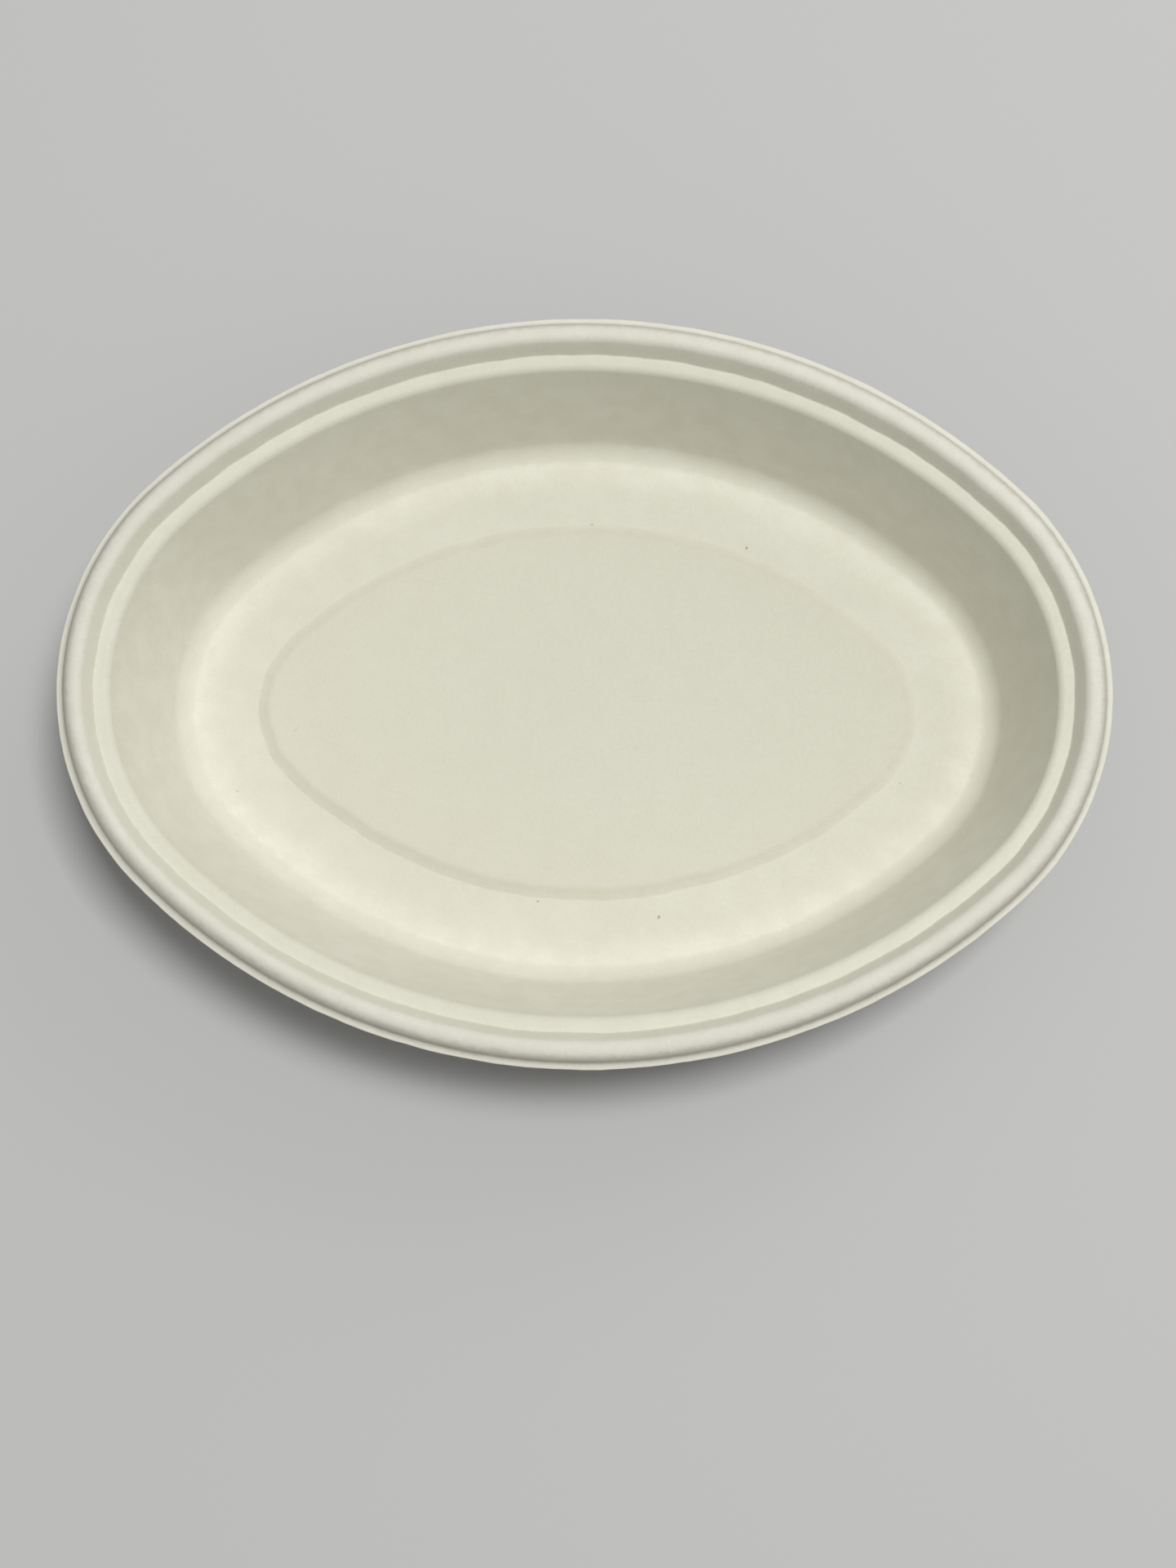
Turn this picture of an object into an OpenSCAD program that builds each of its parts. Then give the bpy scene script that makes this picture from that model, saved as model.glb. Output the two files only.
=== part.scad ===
// An oval bowl pressed from one sheet of sugar-cane fibre. From the outside in, the sheet makes a flat
// trimmed lip, a rolled bead, a ledge, a slanted wall, the flat ring that the bowl stands on, and a panel
// in the middle of the floor that is raised by one shallow step.
//
// The outline of the lip is an oval of four arcs, two ends and two sides that meet without a corner. Every
// other line of the bowl is parallel to it, so one section of the sheet is swept round all four arcs.
// Z = 0 is the table that the ring stands on, X runs along the bowl, and the origin is below its middle.

/* [Outline] */
// Length over the lip
length = 231; // [215:0.5:250]
// Width over the lip
width = 166.2; // [155:0.3:180]

/* [Sheet] */
// Thickness of the sheet
sheet = 0.8; // [0.6:0.05:1]

/* [Rim] */
// Height of the bead's crest above the table
height = 38.5; // [34:0.5:50]
// Width of the flat lip, from its trimmed edge to the foot of the bead
lip_w = 1.3; // [1:0.1:4]
// Height of the bead's crest above the lip
bead_rise = 3.3; // [2.8:0.1:3.5]
// Width of the bead, from its foot on the lip to its foot on the ledge
bead_w = 6.7; // [6.5:0.1:9]
// Slope of the bead's outer face
bead_outer_slope = 72; // [70:1:75]
// Slope of the bead's inner face
bead_inner_slope = 66; // [64:1:70]
// Drop of the ledge below the lip
ledge_drop = 1.4; // [0.4:0.1:1.6]
// Width of the ledge, from the foot of the bead to the top of the wall
ledge_w = 3.2; // [2.6:0.1:6]

/* [Wall] */
// Lean of the wall from the vertical
wall_lean = 16; // [10:0.5:25]

/* [Floor] */
// Width of the ring that the bowl stands on, from the foot of the wall to the step
ring_w = 18.2; // [12:0.2:20]
// Width of the sloped step round the panel
step_w = 2.9; // [2.4:0.1:6]
// Height of the panel above the ring
panel_rise = 1.6; // [0.8:0.1:2]

/* [Bends] */
// Radius inside the bend between the lip and the bead
lip_bend_r = 1.2; // [0.2:0.1:1.5]
// Radius inside the outer bend of the bead
bead_outer_bend_r = 1.8; // [1:0.1:1.9]
// Radius inside the inner bend of the bead
bead_inner_bend_r = 1.2; // [0.6:0.1:1.4]
// Radius inside the bend between the bead and the ledge
ledge_bend_r = 0.4; // [0.2:0.1:0.8]
// Radius inside the bend between the ledge and the wall
wall_bend_r = 1; // [0.6:0.1:1.8]
// Radius inside the bend between the wall and the ring
floor_bend_r = 5.5; // [4:0.5:12]
// Radius inside the two bends of the step
step_bend_r = 1.2; // [0.8:0.1:3]

/* [Hidden] */
fibre_color = "#DFDDCF";
$fn = 72;
// How far a bend drawn with straight steps may stray from its true arc
bend_error = 0.02;

// The four arcs: the ends turn about [end_x, 0] and [-end_x, 0], the sides about [0, -side_y] and
// [0, side_y]. The line through an end's centre and a side's centre is where those two arcs meet. The
// legs of that right triangle are as 20 to 21, so its long side, the difference of the two radii, is as 29.
// Lengths in whole thousandths of a millimetre let the four sweeps meet face to face.
function thousandths(v) = round(1000 * v) / 1000;
legs = [20, 21];
unit = thousandths((length - width) / (2 * (legs.x + legs.y - norm(legs))));
end_x = legs.x * unit;
side_y = legs.y * unit;
end_r = thousandths(length / 2) - end_x;
side_r = end_r + norm(legs) * unit;

// Heights of the sheet's upper face
lip_z = height - bead_rise;
ledge_z = lip_z - ledge_drop;
ring_z = sheet;
panel_z = ring_z + panel_rise;

// Distances of the section's corners from the trimmed edge, on the sheet's upper face
bead_start = lip_w + bead_rise / tan(bead_outer_slope);
bead_foot = lip_w + bead_w;
bead_end = bead_foot - (bead_rise + ledge_drop) / tan(bead_inner_slope);
wall_top = bead_foot + ledge_w;
wall_foot = wall_top + (ledge_z - ring_z) * tan(wall_lean);
step_foot = wall_foot + ring_w;
step_top = step_foot + step_w;
// The swept section ends a little way onto the panel, and a flat plate fills the rest.
panel_start = thousandths(step_top + step_bend_r + sheet);

// The section's corners, from the trimmed edge inward: [distance, height, radius inside the bend]
corners = [
    [0, lip_z, 0],
    [lip_w, lip_z, lip_bend_r],
    [bead_start, height, bead_outer_bend_r],
    [bead_end, height, bead_inner_bend_r],
    [bead_foot, ledge_z, ledge_bend_r],
    [wall_top, ledge_z, wall_bend_r],
    [wall_foot, ring_z, floor_bend_r],
    [step_foot, ring_z, step_bend_r],
    [step_top, panel_z, step_bend_r],
    [panel_start, panel_z, 0],
];
last = len(corners) - 1;

// Place of corner i, the direction in which the sheet leaves it, and the upward normal of that run
function place(i) = [corners[i].x, corners[i].y];
function along(i) = (place(i + 1) - place(i)) / norm(place(i + 1) - place(i));
function up(i) = [-along(i).y, along(i).x];
function turned(v, angle) = [v.x * cos(angle) - v.y * sin(angle), v.x * sin(angle) + v.y * cos(angle)];

// The bend at corner i. A positive turn is upward, with the sheet's upper face inside the bend.
function turn(i) = atan2(cross(along(i - 1), along(i)), along(i - 1) * along(i));
function upper_r(i) = corners[i].z + (turn(i) > 0 ? 0 : sheet);
function lower_r(i) = corners[i].z + (turn(i) > 0 ? sheet : 0);
function centre(i) = place(i) - upper_r(i) * tan(abs(turn(i)) / 2) * along(i - 1)
    + sign(turn(i)) * upper_r(i) * up(i - 1);
function steps(i) = ceil(abs(turn(i)) / (2 * acos(1 - bend_error / max(upper_r(i), lower_r(i)))));
function arc(i, r) = [for (s = [0 : steps(i)])
    centre(i) - sign(turn(i)) * r * turned(up(i - 1), turn(i) * s / steps(i))];

// The sheet's two faces, from the trimmed edge inward
upper_face = [place(0), for (i = [1 : last - 1]) each arc(i, upper_r(i)), place(last)];
lower_face = [place(0) - sheet * up(0), for (i = [1 : last - 1]) each arc(i, lower_r(i)),
    place(last) - sheet * up(last - 1)];

// The section of the sheet, with the trimmed edge at X = r and the middle of the bowl towards X = 0
module section(r) {
    outline = concat(upper_face, [for (i = [len(lower_face) - 1 : -1 : 0]) lower_face[i]]);
    translate([r, 0]) mirror([1, 0]) polygon(outline);
}

// The plan is cut into two ends and two sides along the lines where the arcs meet
module end_plan() {
    far = ceil(2 * end_r / legs.x) * legs;
    polygon([[end_x, 0], [end_x + far.x, -far.y], [end_x + far.x, far.y]]);
}
module side_plan() {
    far = ceil(2 * width / legs.y) * legs;
    polygon([[-end_x, 0], [end_x, 0], [end_x + far.x, far.y], [-end_x - far.x, far.y]]);
}

module end_sweep() {
    intersection() {
        translate([end_x, 0, 0]) rotate_extrude() section(end_r);
        linear_extrude(2 * height, center = true) end_plan();
    }
}
module side_sweep() {
    intersection() {
        translate([0, -side_y, 0]) rotate_extrude() section(side_r);
        linear_extrude(2 * height, center = true) side_plan();
    }
}

// The flat middle of the panel, inside the swept section
module panel_plate() {
    translate([0, 0, panel_z - sheet]) linear_extrude(sheet)
        for (m = [0, 1]) {
            mirror([m, 0]) intersection() {
                translate([end_x, 0]) circle(end_r - panel_start);
                end_plan();
            }
            mirror([0, m]) intersection() {
                translate([0, -side_y]) circle(side_r - panel_start);
                side_plan();
            }
        }
}

module bowl() {
    color(fibre_color) {
        for (m = [0, 1]) {
            mirror([m, 0, 0]) end_sweep();
            mirror([0, m, 0]) side_sweep();
        }
        panel_plate();
    }
}

bowl();
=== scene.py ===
# %% [markdown]
# This lesson dresses an oval takeaway bowl that is pressed from one sheet of sugar-cane fibre. Its exact
# solid was drawn in CAD, and comes in here as a fixed frame that gives the size and place of everything.

# %% Load the frame
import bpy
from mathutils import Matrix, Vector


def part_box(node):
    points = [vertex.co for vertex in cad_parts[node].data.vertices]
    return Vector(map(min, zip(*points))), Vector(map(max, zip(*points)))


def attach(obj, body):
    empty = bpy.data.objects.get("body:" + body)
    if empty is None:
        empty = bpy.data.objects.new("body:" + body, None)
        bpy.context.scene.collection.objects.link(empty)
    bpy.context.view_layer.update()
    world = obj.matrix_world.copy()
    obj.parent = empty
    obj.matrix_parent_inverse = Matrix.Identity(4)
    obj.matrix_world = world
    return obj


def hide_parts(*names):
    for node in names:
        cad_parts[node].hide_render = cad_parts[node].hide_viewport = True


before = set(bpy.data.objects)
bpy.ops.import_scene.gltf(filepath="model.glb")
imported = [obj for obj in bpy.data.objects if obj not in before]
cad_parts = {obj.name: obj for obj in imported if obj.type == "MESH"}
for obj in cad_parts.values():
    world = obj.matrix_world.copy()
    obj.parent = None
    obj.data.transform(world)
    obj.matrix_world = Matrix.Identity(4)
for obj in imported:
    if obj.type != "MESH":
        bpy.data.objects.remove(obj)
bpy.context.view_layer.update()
print("CAD nodes:", sorted(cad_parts))

# %% Modules and units
from itertools import accumulate
from math import atan2, ceil, cos, dist, exp, hypot, pi, radians, sin, tan

import bmesh
import bpy
from mathutils import Euler, Vector, noise

# Shapes are worked out in millimetres and turned into metres when a mesh is made.
MM = 0.001
scene = bpy.context.scene

# %% [markdown]
# The bowl was photographed by hand from above, so the camera leans back a little and is turned by a
# degree. Its place could be guessed by eye, but a match to a pixel needs a fit. Five lines of the bowl
# were marked in the photograph, and a pinhole camera was moved until the same lines of the model, at
# their real heights, fell on them. These are the lens, the place and the three angles that came out.

# %% Camera
photo_lens = 52.01
photo_place = (0.0198, -0.0812, 0.5227)
photo_angles = (7.03, 1.93, 1.20)


def make_camera(name, lens, place, angles):
    """A camera on a 36 mm sensor, whose angles are in degrees about X, Y and Z."""
    data = bpy.data.cameras.new(name)
    data.sensor_width = 36
    data.lens = lens
    camera = bpy.data.objects.new(name, data)
    camera.location = place
    camera.rotation_euler = [radians(angle) for angle in angles]
    scene.collection.objects.link(camera)
    return camera


scene.camera = make_camera("photo_camera", photo_lens, photo_place, photo_angles)
print("camera height in mm:", round(scene.camera.location.z / MM))

# %% [markdown]
# The rim is an oval, but not a true ellipse. A mould maker draws such an oval with four arcs, two at the
# ends and two along the sides, which meet without a corner. A scaled circle would be quicker, but then the
# rim's bands would grow wider at the ends. With arcs, every band is the same width all round, as in the
# photograph. The arcs meet on a line whose legs are as 20 to 21, so its long side is as 29.

# %% The outline's four arcs
low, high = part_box("bowl")
half_length = high.x / MM
half_width = high.y / MM
LEGS = (20, 21)
unit = (half_length - half_width) / (sum(LEGS) - hypot(*LEGS))
end_x = LEGS[0] * unit
side_y = LEGS[1] * unit
end_r = half_length - end_x
side_r = end_r + hypot(*LEGS) * unit
meet = atan2(LEGS[1], LEGS[0])

# Each arc: its centre, its radius at the trimmed edge, and the directions in which it starts and stops
ARCS = [
    ((end_x, 0), end_r, -meet, meet),
    ((0, -side_y), side_r, meet, pi - meet),
    ((-end_x, 0), end_r, pi - meet, pi + meet),
    ((0, side_y), side_r, pi + meet, 2 * pi - meet),
]
print("end arc, side arc in mm:", round(end_r, 2), round(side_r, 2))

# %% [markdown]
# A station is one place on the outline, seen from the centre of its arc. Every point of the bowl is then
# a station and an inset, its distance from the trimmed edge towards the middle. The last inset of each
# station lies on the bowl's long axis, where the stations of the two halves meet.

# %% Stations round the outline
STATION_GAP = 1.25


def make_stations():
    """(centre, direction, radius, inset of the long axis) of each station, in degrees from +X round."""
    stations = []
    for centre, radius, start, stop in ARCS:
        count = round(radius * (stop - start) / STATION_GAP)
        for i in range(count):
            angle = start + (stop - start) * i / count
            toward = (cos(angle), sin(angle))
            reach = radius - abs(centre[1] / sin(angle)) if centre[1] else radius
            stations.append((centre, toward, radius, reach))
    return stations


stations = make_stations()
print("stations:", len(stations))

# %% [markdown]
# From the trimmed edge inward, the sheet makes a flat lip, a rolled bead that stiffens the rim and holds
# a lid, a ledge, a slanted wall, the flat ring that the bowl stands on, and a raised panel. The section is
# drawn once, on the sheet's upper face, as corners that each have a bend. Sharp corners with a bevel
# modifier would do for a box, but here each bend has its own radius, so the bends are worked out.

# %% The section's corners
# Sizes in mm, and slopes in degrees from the level
SHEET = 0.8
LIP_WIDE = 1.3
BEAD_RISE = 3.3
BEAD_WIDE = 6.7
BEAD_OUTER_SLOPE = 72
BEAD_INNER_SLOPE = 66
LEDGE_DROP = 1.4
LEDGE_WIDE = 3.2
WALL_SLOPE = 74
RING_WIDE = 18.2
STEP_WIDE = 2.7
PANEL_RISE = 1.6
# How far the drawn section runs onto the panel
ONTO_PANEL = 2.2

height = high.z / MM
lip_z = height - BEAD_RISE
ledge_z = lip_z - LEDGE_DROP
ring_z = SHEET
panel_z = ring_z + PANEL_RISE
bead_foot = LIP_WIDE + BEAD_WIDE
crest_out = LIP_WIDE + (height - lip_z) / tan(radians(BEAD_OUTER_SLOPE))
crest_in = bead_foot - (height - ledge_z) / tan(radians(BEAD_INNER_SLOPE))
wall_top = bead_foot + LEDGE_WIDE
wall_foot = wall_top + (ledge_z - ring_z) / tan(radians(WALL_SLOPE))
step_foot = wall_foot + RING_WIDE
step_top = step_foot + STEP_WIDE
panel_in = step_top + ONTO_PANEL

# Each corner: inset, height, and radius inside the bend
CORNERS = [
    (0, lip_z, 0),
    (LIP_WIDE, lip_z, 1.2),
    (crest_out, height, 1.8),
    (crest_in, height, 1.2),
    (bead_foot, ledge_z, 0.4),
    (wall_top, ledge_z, 1.0),
    (wall_foot, ring_z, 5.5),
    (step_foot, ring_z, 0.7),
    (step_top, panel_z, 2.2),
    (panel_in, panel_z, 0),
]
print("crest, ledge and ring heights in mm:", height, round(ledge_z, 2), ring_z)

# %% The section as a smooth line
# Lengths in mm
LONGEST_RUN = 2.4
SHORTEST_RUN = 0.01
BEND_STEP = radians(10)
FEWEST_STEPS = 3


def straight(start, stop):
    """Points from start up to, but without, stop, each with the normal of the run."""
    span = hypot(stop[0] - start[0], stop[1] - start[1])
    if span < SHORTEST_RUN:
        return []
    count = ceil(span / LONGEST_RUN)
    normal = ((start[1] - stop[1]) / span, (stop[0] - start[0]) / span)
    return [
        (
            start[0] + (stop[0] - start[0]) * i / count,
            start[1] + (stop[1] - start[1]) * i / count,
            *normal,
        )
        for i in range(count)
    ]


def section_line(corners):
    """(inset, height, normal's inset part, normal's height part) along the sheet's upper face."""
    line = []
    start = corners[0][:2]
    for before, corner, after in zip(corners, corners[1:], corners[2:]):
        came = atan2(corner[1] - before[1], corner[0] - before[0])
        goes = atan2(after[1] - corner[1], after[0] - corner[0])
        turn = goes - came
        inside = 1 if turn > 0 else -1
        radius = corner[2] + (0 if turn > 0 else SHEET)
        cut = radius * tan(abs(turn) / 2)
        bend = (corner[0] - cut * cos(came), corner[1] - cut * sin(came))
        centre = (bend[0] - inside * radius * sin(came), bend[1] + inside * radius * cos(came))
        line += straight(start, bend)
        count = max(FEWEST_STEPS, ceil(abs(turn) / BEND_STEP))
        for i in range(count):
            a = came + turn * i / count
            place = (centre[0] + inside * radius * sin(a), centre[1] - inside * radius * cos(a))
            line.append((*place, -sin(a), cos(a)))
        start = (corner[0] + cut * cos(goes), corner[1] + cut * sin(goes))
    return line + straight(start, corners[-1][:2])


section = section_line(CORNERS)
print("points along the section:", len(section))

# %% [markdown]
# A mould is exact, but pulp is not. The sheet shrinks unevenly as it dries, the trimming knife wanders by
# a tenth of a millimetre, and the edges of the step come out slightly scalloped. A displace modifier would
# push everything along its normal. Here each wave moves only the feature it belongs to, so it is written as
# a shift of the inset or of the height, and both faces of the sheet follow it.

# %% Waves that pulp makes
# Noise stays within about 0.6 either way, and this brings it to about 1
NOISE_GAIN = 1.6


def hills(x, y, z, size, seed):
    """A smooth random wave, from about -1 to 1, whose hills are about size millimetres across."""
    return NOISE_GAIN * noise.noise(Vector((x, y, z)) / size + Vector((0, 0, seed)))


def near(value, middle, spread):
    """1 at the middle, falling smoothly to 0 at spread on either side."""
    share = min(abs(value - middle) / spread, 1)
    return (1 - share * share) ** 2


def waves(x, y, parts, lift=0):
    """Some random waves, added up. Each part is a height, the size of its hills and a seed."""
    return sum(tall * (lift + hills(x, y, 0, size, seed)) for tall, size, seed in parts)


print("a wave of height 1, at one place:", round(waves(10, 5, [(1, 9, 11)]), 3))

# %% How the lines wander
TRIM_WAVES = [(0.07, 9, 11), (0.04, 2.5, 12)]
LEDGE_WAVES = [(0.14, 8, 21), (0.06, 2.5, 22)]
STEP_WAVES = [(0.30, 14, 31), (0.16, 4, 32)]
# The knife was set off centre, so the lip is wider round this place on the outline
WIDE_PLACE = (-97, -44)
WIDE_REACH = 60
WIDE_MORE = 0.6
# Middle inset of what moves with each line, and how far it reaches on either side
TRIM_LINE = (0, LIP_WIDE)
BEAD_LINE = (3.0, 2.6)
LEDGE_LINE = (bead_foot, 3.0)
STEP_LINE = ((step_foot + step_top) / 2, 5.0)


def inset_shift(x, y, inset):
    """How far the sheet's lines wander inward at a place on the outline, for a given inset."""
    far = (x - WIDE_PLACE[0]) ** 2 + (y - WIDE_PLACE[1]) ** 2
    wide = WIDE_MORE * exp(-far / WIDE_REACH**2)
    return (
        waves(x, y, TRIM_WAVES, 1) * near(inset, *TRIM_LINE)
        + wide * near(inset, *BEAD_LINE)
        + waves(x, y, LEDGE_WAVES) * near(inset, *LEDGE_LINE)
        + waves(x, y, STEP_WAVES) * near(inset, *STEP_LINE)
    )


print("wander of the trimmed edge near +X in mm:", round(inset_shift(half_length, 0, 0), 3))

# %% How the heights wander
RIM_WAVES = [(0.10, 45, 41)]
PANEL_WAVES = [(0.05, 20, 42)]


def height_shift(x, y, inset):
    """How far the sheet dries away from the mould's height. The rim sinks and the panel rises."""
    rim = -waves(x, y, RIM_WAVES, 1) * near(inset, 0, wall_foot)
    on_panel = min(max((inset - step_foot) / (step_top - step_foot), 0), 1)
    return rim + waves(x, y, PANEL_WAVES, 1) * on_panel


print("sink of the crest near +X in mm:", round(height_shift(half_length, 0, crest_out), 3))

# %% Lumps of the upper face
# The crest's lumps only go inward, and are deeper in some places than in others
CREST_DEEP = 0.022
CREST_DEEP_VARIES = 0.012
CREST_SPREAD = 3.5
BEND_DEEP = 0.016
BEND_LINE = (wall_foot + 3, 6)
FACE_DEEP = 0.008
# The wall is wavy rather than lumpy
WALL_DEEP = 0.03
WALL_LINE = (16, 12)


def lumps(x, y, z, inset):
    """Small lumps of the upper face along its normal. They are strongest on the bead and in the bends."""
    crest_deep = CREST_DEEP + CREST_DEEP_VARIES * hills(x, y, z, 30, 51)
    crest = near(inset, (crest_out + crest_in) / 2, CREST_SPREAD) * crest_deep
    bend = BEND_DEEP * near(inset, *BEND_LINE)
    return (
        crest * (hills(x, y, z, 2.6, 52) - 1)
        + bend * hills(x, y, z, 4.5, 53)
        + FACE_DEEP * hills(x, y, z, 3.5, 54)
        + WALL_DEEP * hills(x, y, z, 16, 55) * near(inset, *WALL_LINE)
    )


print("lump of the crest near +X in mm:", round(lumps(half_length, 5, height, crest_out), 4))

# %% [markdown]
# Stacking and carrying have left a few marks on the bead. Each is a shallow dent with its own place,
# length and direction, pressed into both faces of the sheet. They are named here one by one, because on a
# plain object such marks are what tells it from a new one.

# %% Dents from handling
# Each dent: place, half its length, half its width, direction in degrees from +X, depth
DENTS = [
    ((-106.0, -22.8), 2.6, 0.8, -38, 0.22),
    ((-105.2, -21.0), 1.2, 0.8, 60, 0.12),
    ((-86.9, -47.8), 1.4, 0.8, 10, 0.15),
    ((-58.6, -65.8), 1.4, 0.8, -60, 0.15),
    ((-51.7, -68.5), 1.6, 0.8, -50, 0.16),
    ((-23.6, -76.2), 1.5, 0.9, -70, 0.14),
    ((-16.3, -79.5), 1.6, 0.7, 8, 0.20),
    ((7.6, -74.5), 1.1, 0.8, 0, 0.15),
    ((108.8, -3.3), 1.1, 0.8, 0, 0.12),
]
# Beyond this many half lengths, nothing is left of a dent
DENT_REACH = 4


def dent_depth(x, y):
    """How far the sheet is pressed in at a place."""
    depth = 0
    for (dent_x, dent_y), half_long, half_wide, turn, deep in DENTS:
        dx, dy = x - dent_x, y - dent_y
        if abs(dx) + abs(dy) > DENT_REACH * half_long:
            continue
        a = radians(turn)
        along = (dx * cos(a) + dy * sin(a)) / half_long
        across = (dy * cos(a) - dx * sin(a)) / half_wide
        depth += deep * exp(-(along**2) - across**2)
    return depth


print("dents:", len(DENTS))

# %% [markdown]
# Now the sheet can be laid out: at each station the section gives a row of points on the upper face and,
# one thickness below them, a row on the lower face. Round the trimmed edge the knife leaves two tiny
# rounded corners, which catch the light as a thin line.

# %% One row of points
PANEL_RINGS = 10
EDGE_ROUND = 0.16
# How far the middle of a rounded corner lies inside the sharp one, along either side
EDGE_CUT = 0.29 * EDGE_ROUND
# Each point round the trimmed edge, from the upper face down: inset, and depth below the upper face
EDGE = [
    (EDGE_CUT, EDGE_CUT),
    (0, EDGE_ROUND),
    (0, SHEET - EDGE_ROUND),
    (EDGE_CUT, SHEET - EDGE_CUT),
]


def full_line(reach):
    """The section's line, carried on over the panel to the bowl's long axis."""
    lip_start = [(EDGE_ROUND, lip_z, 0, 1)]
    span = reach - panel_in
    panel = [(panel_in + span * i / PANEL_RINGS, panel_z, 0, 1) for i in range(PANEL_RINGS + 1)]
    return lip_start + section[1:] + panel


def place_point(station, inset, z, normal, below):
    """A point of the sheet in mm. below is its depth under the upper face, along the normal."""
    centre, toward, radius, _ = station
    edge = (centre[0] + radius * toward[0], centre[1] + radius * toward[1])
    inset += inset_shift(*edge, inset)
    x = centre[0] + (radius - inset) * toward[0]
    y = centre[1] + (radius - inset) * toward[1]
    z += height_shift(x, y, inset)
    press = dent_depth(x, y) - (0 if below else lumps(x, y, z, inset))
    out = -(below + press)
    x -= out * normal[0] * toward[0]
    y -= out * normal[0] * toward[1]
    return (x, y, min(max(z + out * normal[1], 0), height))


def station_row(station):
    """Upper face from the middle out, the trimmed edge, and the lower face back to the middle."""
    line = full_line(station[3])
    upper = [place_point(station, s, z, (ns, nz), 0) for s, z, ns, nz in line]
    lower = [place_point(station, s, z, (ns, nz), SHEET) for s, z, ns, nz in line]
    edge = [place_point(station, s, lip_z - depth, (0, 1), 0) for s, depth in EDGE]
    return upper[::-1] + edge + lower


rows = [station_row(station) for station in stations]
print("points in a row:", len(rows[0]))

# %% [markdown]
# The rows are joined into one closed skin. Its patterns will lie in the sheet as they did when the pulp was
# flat, so each vertex keeps the place it would have if the bowl were pressed flat again: as far from the
# middle as the run along the sheet, in millimetres. A UV map could hold this, but is easily taken for a
# layout of images. A plain attribute can't be, and has room for a mark on the outer face as well.

# %% Join the rows into a mesh
FLAT_PLACE = "flat_place"
INSET = "inset"


def inset_row(station):
    """The inset in mm of each point of a row, before any wander."""
    insets = [point[0] for point in full_line(station[3])]
    return insets[::-1] + [inset for inset, _ in EDGE] + insets


def flat_row(station, row):
    """Where each point of a row lies on the flat sheet, with 1 as its third number on the outer face."""
    centre, toward, radius, reach = station
    gone = [0, *accumulate(dist(a, b) for a, b in zip(row, row[1:]))]
    places = []
    for i, run in enumerate(gone):
        outer = i >= len(row) / 2
        far = radius - reach + (gone[-1] - run if outer else run)
        places.append((centre[0] + far * toward[0], centre[1] + far * toward[1], float(outer)))
    return places


def join_rows(name, stations, rows):
    """A mesh of the closed skin, in metres, that keeps each vertex's place on the flat sheet."""
    wide, count = len(rows[0]), len(rows)
    faces = []
    for j in range(count):
        here, there = j * wide, (j + 1) % count * wide
        faces += [(here + i, here + i + 1, there + i + 1, there + i) for i in range(wide - 1)]
    mesh = bpy.data.meshes.new(name)
    mesh.from_pydata([[v * MM for v in point] for row in rows for point in row], [], faces)
    flat = [flat_row(station, row) for station, row in zip(stations, rows)]
    kept = mesh.attributes.new(FLAT_PLACE, "FLOAT_VECTOR", "POINT")
    kept.data.foreach_set("vector", [v for row in flat for point in row for v in point])
    kept = mesh.attributes.new(INSET, "FLOAT", "POINT")
    kept.data.foreach_set("value", [inset for station in stations for inset in inset_row(station)])
    return mesh


skin = join_rows("bowl_skin", stations, rows)
print("faces before the halves are joined:", len(skin.polygons))

# %% [markdown]
# The rows of the two halves end on the same places of the long axis, so the skin still has a slit there.
# Merging by distance closes it. Only the vertices on the axis are given to the tool, so that nothing else,
# such as the fine points round the trimmed edge, can be merged by mistake.

# %% Close the skin along the long axis
MERGE_WITHIN = 0.01 * MM


def close_on_axis(mesh, rows):
    """Merges the first and last point of each row with its neighbour's across the long axis."""
    wide = len(rows[0])
    work = bmesh.new()
    work.from_mesh(mesh)
    work.verts.ensure_lookup_table()
    ends = [work.verts[j * wide + i] for j in range(len(rows)) for i in (0, wide - 1)]
    bmesh.ops.remove_doubles(work, verts=ends, dist=MERGE_WITHIN)
    open_edges = sum(not edge.is_manifold for edge in work.edges)
    bmesh.ops.recalc_face_normals(work, faces=work.faces)
    work.to_mesh(mesh)
    work.free()
    return open_edges


print("open edges:", close_on_axis(skin, rows))
skin.shade_smooth()
print("triangles:", sum(len(face.vertices) - 2 for face in skin.polygons))

# %% The bowl as a piece
bowl = bpy.data.objects.new("bowl_sheet", skin)
scene.collection.objects.link(bowl)
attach(bowl, "root")
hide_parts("bowl")
print("piece:", bowl.name)

# %% [markdown]
# Pressed fibre is matt, but never flat. Up close it has a fine grain, short fibres that lie in every
# direction, soft clouds where the pulp settled thicker, and a few specks of bark. A photograph of paper
# could be laid on it, but patterns made by nodes stay sharp however close the camera comes.
# Shader nodes are easier to read when a small helper makes them, so that comes first.

# %% A helper for shader nodes


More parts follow.
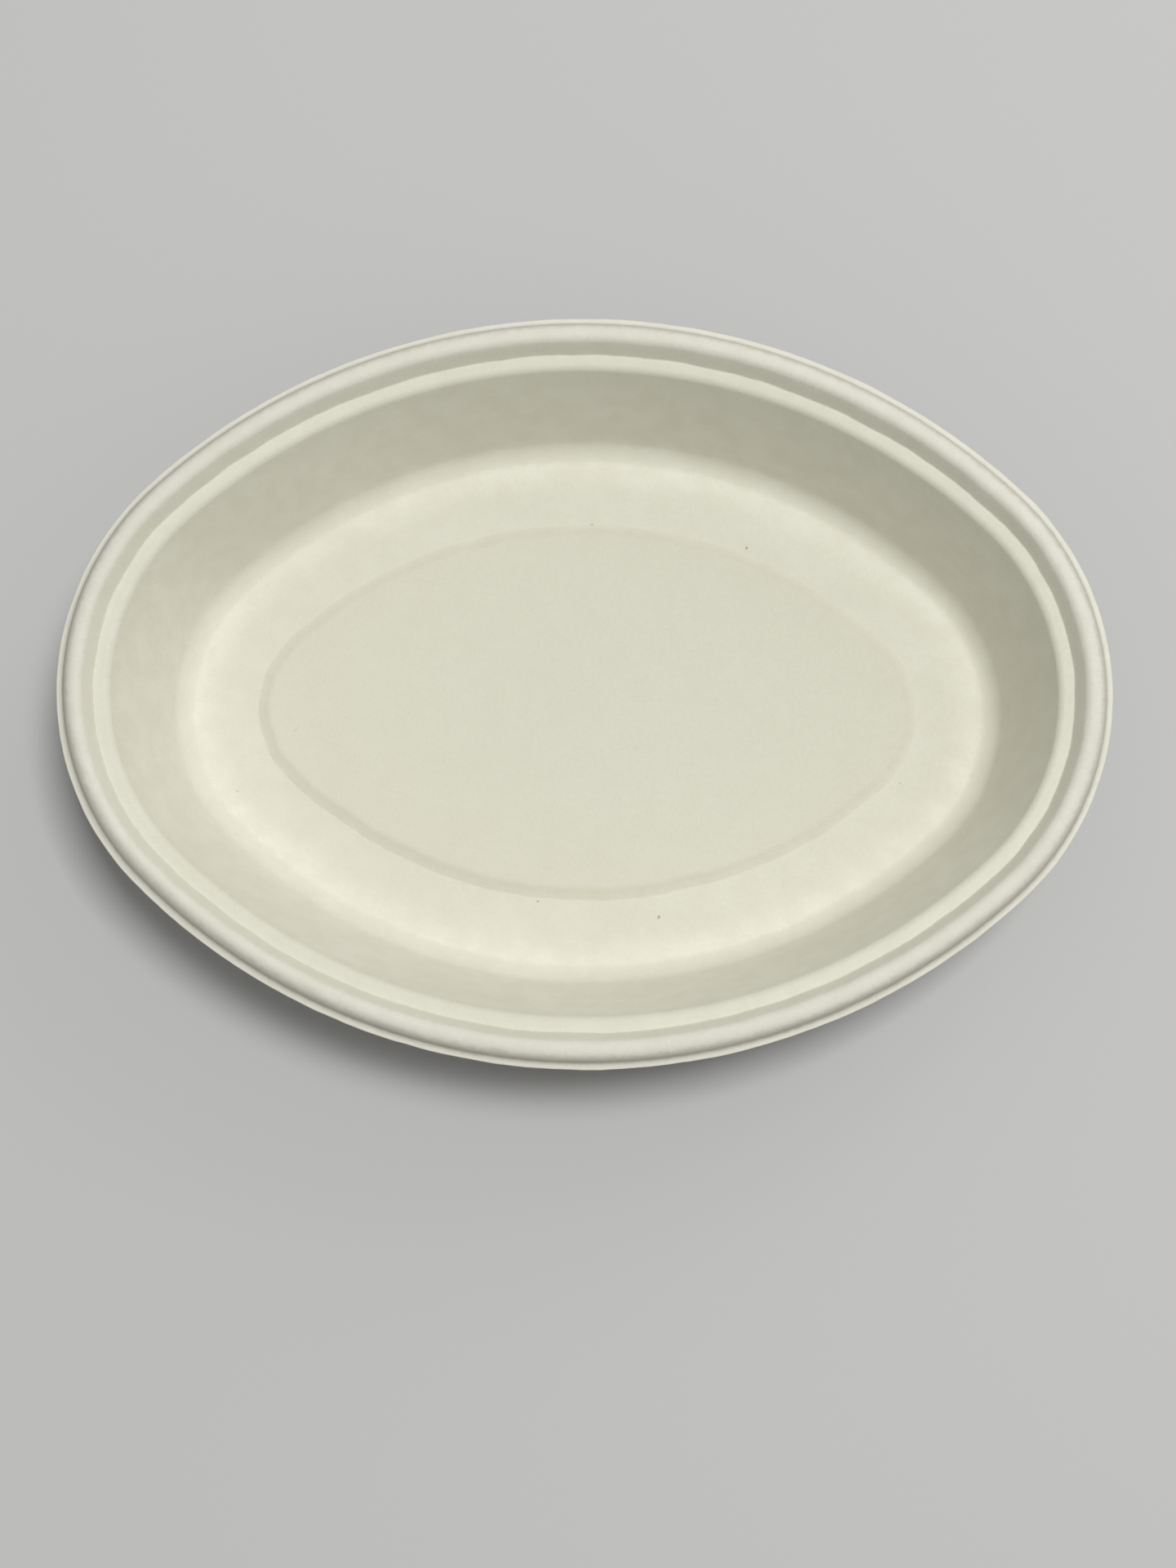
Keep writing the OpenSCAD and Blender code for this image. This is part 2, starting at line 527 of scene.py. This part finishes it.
class Nodes:
    """Adds nodes to a material or world. Each call returns the node's first output."""

    def __init__(self, tree):
        self.tree = tree
        tree.nodes.clear()

    def add(self, kind, *inputs, output=0, **settings):
        """A node of a kind. Its sockets in use are filled in order, with values or other nodes' outputs."""
        node = self.tree.nodes.new("ShaderNode" + kind)
        for name, value in settings.items():
            setattr(node, name, value)
        for socket, value in zip([s for s in node.inputs if s.enabled], inputs):
            if isinstance(value, bpy.types.NodeSocket):
                self.tree.links.new(value, socket)
            else:
                socket.default_value = value
        return node.outputs[output] if node.outputs else None

    def math(self, operation, *inputs):
        return self.add("Math", *inputs, operation=operation)

    def ramp(self, value, low, high, to_low, to_high):
        """value, taken smoothly from low..high to to_low..to_high."""
        return self.add(
            "MapRange", value, low, high, to_low, to_high, interpolation_type="SMOOTHSTEP"
        )

    def laid(self, place, origin, turn, size):
        """A place, seen from an origin, in a frame turned by degrees and measured in units of size."""
        turned = Euler((0, 0, radians(turn)))
        return self.add("Mapping", place, origin, turned, size, vector_type="TEXTURE")

    def clouds(self, place, size, seed, detail=2, output=0):
        """Random clouds about size millimetres across, from 0 to 1. A seed picks their part of the plane."""
        moved = self.laid(place, (37 * seed, 53 * seed, 0), 0, (size, size, 1))
        return self.add("TexNoise", moved, 1, detail, noise_dimensions="2D", output=output)

    def blend(self, share, first, second):
        """The first colour, blended into the second by a share."""
        return self.add("Mix", share, first, second, output=2, data_type="RGBA")


material = bpy.data.materials.new("pressed_fibre")
material.use_nodes = True
fibre = Nodes(material.node_tree)
print("material:", material.name)

# %% [markdown]
# All patterns below are laid out on the flat sheet, in millimetres. The clouds come first. Pulp settles in
# flocks some millimetres across, which show as a difference in tone of one or two parts in a hundred.

# %% Place on the sheet, and clouds
place = fibre.add("Attribute", attribute_name=FLAT_PLACE, output=1)
outer = fibre.add("SeparateXYZ", place, output=2)
FLOCK_SIZE = 7
DRIFT_SIZE = 40
# Random clouds lie mostly between these values
CLOUD_EDGE = (0.3, 0.7)
flocks = fibre.clouds(place, FLOCK_SIZE, 1)
drift = fibre.clouds(place, DRIFT_SIZE, 2)
print("sizes of the clouds in mm:", FLOCK_SIZE, DRIFT_SIZE)

# %% [markdown]
# A fibre is a streak a millimetre or two long and a tenth wide. Cells of a Voronoi pattern, squeezed in one
# direction, make such streaks, and a few layers turned against each other make them lie every way. The
# place is bent a little first, so that they aren't straight.

# %% Fibres
FIBRE_SIZE = (1.6, 0.30, 1)
FIBRE_TURNS = (15, 74, 131)
# A streak fades from its middle over this part of its cell, and only the cells picked here hold one
FIBRE_FADE = (0.12, 0.30)
FIBRE_PICK = (0.55, 0.75)
FIBRE_BEND_SIZE = 2.2

wave = fibre.clouds(place, FIBRE_BEND_SIZE, 6, 1, output=1)
bent = fibre.add("VectorMath", place, wave, operation="ADD")


def fibre_layer(place, turn, seed):
    """A mask of the fibres that lie in one direction, in degrees from +X."""
    turned = fibre.laid(place, (seed * 3.7, seed * 1.9, 0), turn, FIBRE_SIZE)
    cells = fibre.add("TexVoronoi", turned, 1.0, voronoi_dimensions="2D").node.outputs
    chosen = fibre.add("SeparateColor", cells["Color"])
    streak = fibre.ramp(cells["Distance"], *FIBRE_FADE, 1, 0)
    return fibre.math("MULTIPLY", streak, fibre.ramp(chosen, *FIBRE_PICK, 0, 1))


fibres = fibre_layer(bent, FIBRE_TURNS[0], 1)
for seed, turn in enumerate(FIBRE_TURNS[1:], 2):
    fibres = fibre.math("MAXIMUM", fibres, fibre_layer(bent, turn, seed))
print("layers of fibres:", len(FIBRE_TURNS))

# %% [markdown]
# Where the cane wasn't washed clean, a speck of bark stays in the sheet. Only a handful shows, so each has
# its place here, as a tiny ellipse with a frayed edge.

# %% Specks of bark
# Each speck: place on the bowl, direction in degrees, half its length, half its width, strength
SPECKS = [
    ((37.1, 39.6), 70, 0.42, 0.26, 0.75),
    ((17.9, -48.2), 60, 0.50, 0.32, 0.65),
    ((-10.2, -45.1), 20, 0.40, 0.20, 0.60),
    ((-81.3, -20.5), 0, 0.30, 0.24, 0.45),
    ((0.5, 44.8), 0, 0.34, 0.22, 0.55),
    ((73.3, -16.1), 0, 0.26, 0.26, 0.30),
    ((-67.5, -5.7), 35, 1.20, 0.12, 0.22),
]
# A speck fades over this stretch, in its own half sizes
SPECK_FADE = (0.55, 1.25)


def speck(place, centre, turn, half_long, half_wide, strength):
    """A mask of one speck. In its own frame it is a round spot of size 1, and the outer face is far off."""
    own = fibre.laid(place, (*centre, 0), turn, (half_long, half_wide, 0.5))
    far = fibre.add("VectorMath", own, operation="LENGTH", output=1)
    return fibre.ramp(far, *SPECK_FADE, strength, 0)


specks = speck(place, *SPECKS[0])
for one in SPECKS[1:]:
    specks = fibre.math("MAXIMUM", specks, speck(place, *one))
FRAY_SIZE = 0.2
FRAY_EDGE = (0.3, 0.6)
FRAY_LEAST = 0.5
fray = fibre.ramp(fibre.clouds(place, FRAY_SIZE, 9), *FRAY_EDGE, FRAY_LEAST, 1)
frayed = fibre.math("MULTIPLY", specks, fray)
print("specks:", len(SPECKS))

# %% [markdown]
# The colour is unbleached cane pulp, a warm off-white. It isn't the same everywhere: the rim and the wall
# are a little whiter, a painted highlight makes the foot of the wall palest, the panel is a little darker,
# and painted shade makes the crease between lip and bead darkest, with a lighter painted shade in the crease
# between bead and ledge. Painting the tones by hand would need a picture. A mask made from the inset follows
# each line of the bowl by itself. Clouds, fibres and specks shade these tones.

# %% Colour
PULP = (0.760, 0.750, 0.635, 1)
PULP_RIM = (0.780, 0.764, 0.668, 1)
# Painted shade: a darker tone laid into the two creases beside the bead
PAINTED_CREASE_SHADE = (0.560, 0.545, 0.450, 1)
PULP_WALL = (0.800, 0.785, 0.685, 1)
# Painted highlight: a paler tone along the foot of the wall
PAINTED_FOOT_HIGHLIGHT = (0.830, 0.818, 0.705, 1)
PULP_PANEL = (0.720, 0.710, 0.588, 1)
PULP_THICK = (0.690, 0.675, 0.555, 1)
PULP_FIBRE = (0.790, 0.780, 0.685, 1)
BARK = (0.16, 0.12, 0.07, 1)

# Each band of insets in mm: where it grows, where it fades, and how strong it is
# Painted shade in the crease between lip and bead, and more weakly in the crease between bead and ledge
LIP_CREASE_SHADE = ((1.0, 1.9), (2.3, 3.4), 0.65)
LEDGE_CREASE_SHADE = ((5.8, 6.6), (7.5, 8.2), 0.2)
WALL_BAND = ((wall_top, wall_top + 1.5), (19.0, 22.5), 1)
# Painted highlight along the foot of the wall
FOOT_HIGHLIGHT_BAND = ((22.9, 24.3), (24.5, 32.0), 1)
# The bands' edges wander by this much in all, in clouds of this size
RAGGED = 1.4
RAGGED_SIZE = 2.5
FLOCK_SHARE = 0.3
DRIFT_SHARE = 0.2
FIBRE_SHARE = 0.5

inset = fibre.add("Attribute", attribute_name=INSET, output=2)
steady = fibre.math("SUBTRACT", inset, RAGGED / 2)
ragged = fibre.math("MULTIPLY_ADD", fibre.clouds(place, RAGGED_SIZE, 7), RAGGED, steady)


def band(rise, fall, strength):
    """A mask of the insets between two stretches: it grows over rise and fades over fall."""
    grown = fibre.ramp(ragged, *rise, 0, strength)
    return fibre.math("MULTIPLY", grown, fibre.ramp(ragged, *fall, 1, 0))


tone = fibre.blend(fibre.ramp(inset, bead_foot - 1.5, bead_foot, 1, 0), PULP, PULP_RIM)
# Painted shade in both creases beside the bead
tone = fibre.blend(band(*LIP_CREASE_SHADE), tone, PAINTED_CREASE_SHADE)
tone = fibre.blend(band(*LEDGE_CREASE_SHADE), tone, PAINTED_CREASE_SHADE)
tone = fibre.blend(band(*WALL_BAND), tone, PULP_WALL)
# Painted highlight along the foot of the wall
tone = fibre.blend(band(*FOOT_HIGHLIGHT_BAND), tone, PAINTED_FOOT_HIGHLIGHT)
tone = fibre.blend(fibre.ramp(inset, step_foot, step_top, 0, 1), tone, PULP_PANEL)
tone = fibre.blend(fibre.ramp(flocks, *CLOUD_EDGE, 0, FLOCK_SHARE), tone, PULP_THICK)
tone = fibre.blend(fibre.ramp(drift, *CLOUD_EDGE, 0, DRIFT_SHARE), tone, PULP_THICK)
tone = fibre.blend(fibre.math("MULTIPLY", fibres, FIBRE_SHARE), tone, PULP_FIBRE)
tone = fibre.blend(frayed, tone, BARK)
print("plain tone, red green blue:", PULP[:3])

# %% [markdown]
# The relief has three scales. Grain is as fine as the fibres' ends, fibres stand up by a few hundredths of
# a millimetre, and small knots of pulp are a millimetre or two across. The outer face also has the weave of
# the forming screen. Waves and dents are in the mesh, so bump only has to do what is too fine for it.

# %% Relief
GRAIN_SIZE = 0.35
GRAIN_DEEP = 0.020
SCREEN_PITCH = 0.75
SCREEN_DEEP = 0.030
FIBRE_PROUD = 0.02
KNOT_SIZE = 1.4
KNOT_DEEP = 0.03

grain = fibre.clouds(place, GRAIN_SIZE, 3, 2)
sides = fibre.add("SeparateXYZ", place).node.outputs
wires = [fibre.math("SINE", fibre.math("MULTIPLY", side, 2 * pi / SCREEN_PITCH)) for side in sides[:2]]
weave = fibre.math("MULTIPLY", fibre.math("MULTIPLY", *wires), outer)

# Heights in mm, added up
relief = fibre.math("MULTIPLY", grain, GRAIN_DEEP)
relief = fibre.math("MULTIPLY_ADD", fibres, FIBRE_PROUD, relief)
relief = fibre.math("MULTIPLY_ADD", fibre.clouds(place, KNOT_SIZE, 4), KNOT_DEEP, relief)
relief = fibre.math("MULTIPLY_ADD", weave, SCREEN_DEEP / 2, relief)
bump = fibre.add("Bump", 1.0, MM)
fibre.tree.links.new(relief, bump.node.inputs["Height"])
print("depth of grain, fibres and knots in mm:", GRAIN_DEEP, FIBRE_PROUD, KNOT_DEEP)

# %% Gloss, and the finished material
ROUGH = 0.62
ROUGH_VARIES = 0.05
ROUGH_SIZE = 1.1
SPECULAR = 0.3
shader = fibre.tree.nodes.new("ShaderNodeBsdfPrincipled")
matt = (ROUGH - ROUGH_VARIES, ROUGH + ROUGH_VARIES)
rough = fibre.ramp(fibre.clouds(place, ROUGH_SIZE, 5), *CLOUD_EDGE, *matt)
shader.inputs["Specular IOR Level"].default_value = SPECULAR
for socket, value in (("Base Color", tone), ("Roughness", rough), ("Normal", bump)):
    fibre.tree.links.new(value, shader.inputs[socket])
fibre.add("OutputMaterial", shader.outputs[0])
skin.materials.append(material)
print("nodes in the material:", len(fibre.tree.nodes))

# %% [markdown]
# The bowl stands on a plain pale floor. Camera rays see it pale, but rays that light the bowl see it
# darker, so that the underside of the rim keeps its shade. A dark floor would do the same with one colour,
# but this studio is plain and pale.

# %% Floor
FLOOR_PALE = (0.60, 0.60, 0.59, 1)
FLOOR_BOUNCE = (0.15, 0.14, 0.13, 1)
FLOOR_HALF = 20.0
FLOOR_DROP = 0.00002

floor_mesh = bpy.data.meshes.new("floor")
corners = [(x * FLOOR_HALF, y * FLOOR_HALF, -FLOOR_DROP) for x, y in ((-1, -1), (1, -1), (1, 1), (-1, 1))]
floor_mesh.from_pydata(corners, [], [(0, 1, 2, 3)])
floor = bpy.data.objects.new("floor", floor_mesh)
scene.collection.objects.link(floor)


def seen_directly(nodes):
    """1 for rays from the camera, and for what gloss and glass show, otherwise 0."""
    rays = nodes.add("LightPath").node.outputs
    seen = nodes.math("MAXIMUM", rays["Is Camera Ray"], rays["Is Glossy Ray"])
    return nodes.math("MAXIMUM", seen, rays["Is Transmission Ray"])


floor_material = bpy.data.materials.new("floor")
floor_material.use_nodes = True
plain = Nodes(floor_material.node_tree)
floor_tone = plain.blend(seen_directly(plain), FLOOR_BOUNCE, FLOOR_PALE)
plain.add("OutputMaterial", plain.add("BsdfDiffuse", floor_tone))
floor_mesh.materials.append(floor_material)
print("floor half width in m:", FLOOR_HALF)

# %% [markdown]
# The room's light is soft. Most of it comes from above, and a window or lamp on the far right side shapes
# the walls. Soft boxes stand for both, and the world fills the shade. Together they are set so that a white
# card on the floor would render just white, which keeps every colour as it was written.

# %% Lights
WORLD_FILL = 0.30
WORLD_SEEN = 0.80


def soft_box(name, azimuth, elevation, distance, size, power):
    """A square lamp that faces the bowl. azimuth is in degrees from +X round to +Y."""
    data = bpy.data.lights.new(name, "AREA")
    data.shape = "SQUARE"
    data.size = size
    data.energy = power
    lamp = bpy.data.objects.new(name, data)
    a, e = radians(azimuth), radians(elevation)
    toward = Vector((cos(a) * cos(e), sin(a) * cos(e), sin(e)))
    lamp.location = toward * distance
    lamp.rotation_mode = "QUATERNION"
    lamp.rotation_quaternion = toward.to_track_quat("Z", "Y")
    lamp.visible_camera = False
    scene.collection.objects.link(lamp)
    return lamp


# Each lamp: name, azimuth, elevation, distance and size in metres, power in watts
LAMPS = [
    ("overhead", 30, 75, 1.8, 0.5, 19),
    ("far_right", 50, 30, 1.8, 0.8, 3.3),
]
for lamp in LAMPS:
    soft_box(*lamp)

world = bpy.data.worlds.new("studio")
world.use_nodes = True
scene.world = world
sky = Nodes(world.node_tree)
strength = sky.math("MULTIPLY_ADD", seen_directly(sky), WORLD_SEEN - WORLD_FILL, WORLD_FILL)
sky.add("OutputWorld", sky.add("Background", (1.0, 1.0, 1.0, 1), strength))
scene.view_settings.view_transform = "Standard"
print("lamps, world fill:", len(LAMPS), WORLD_FILL)
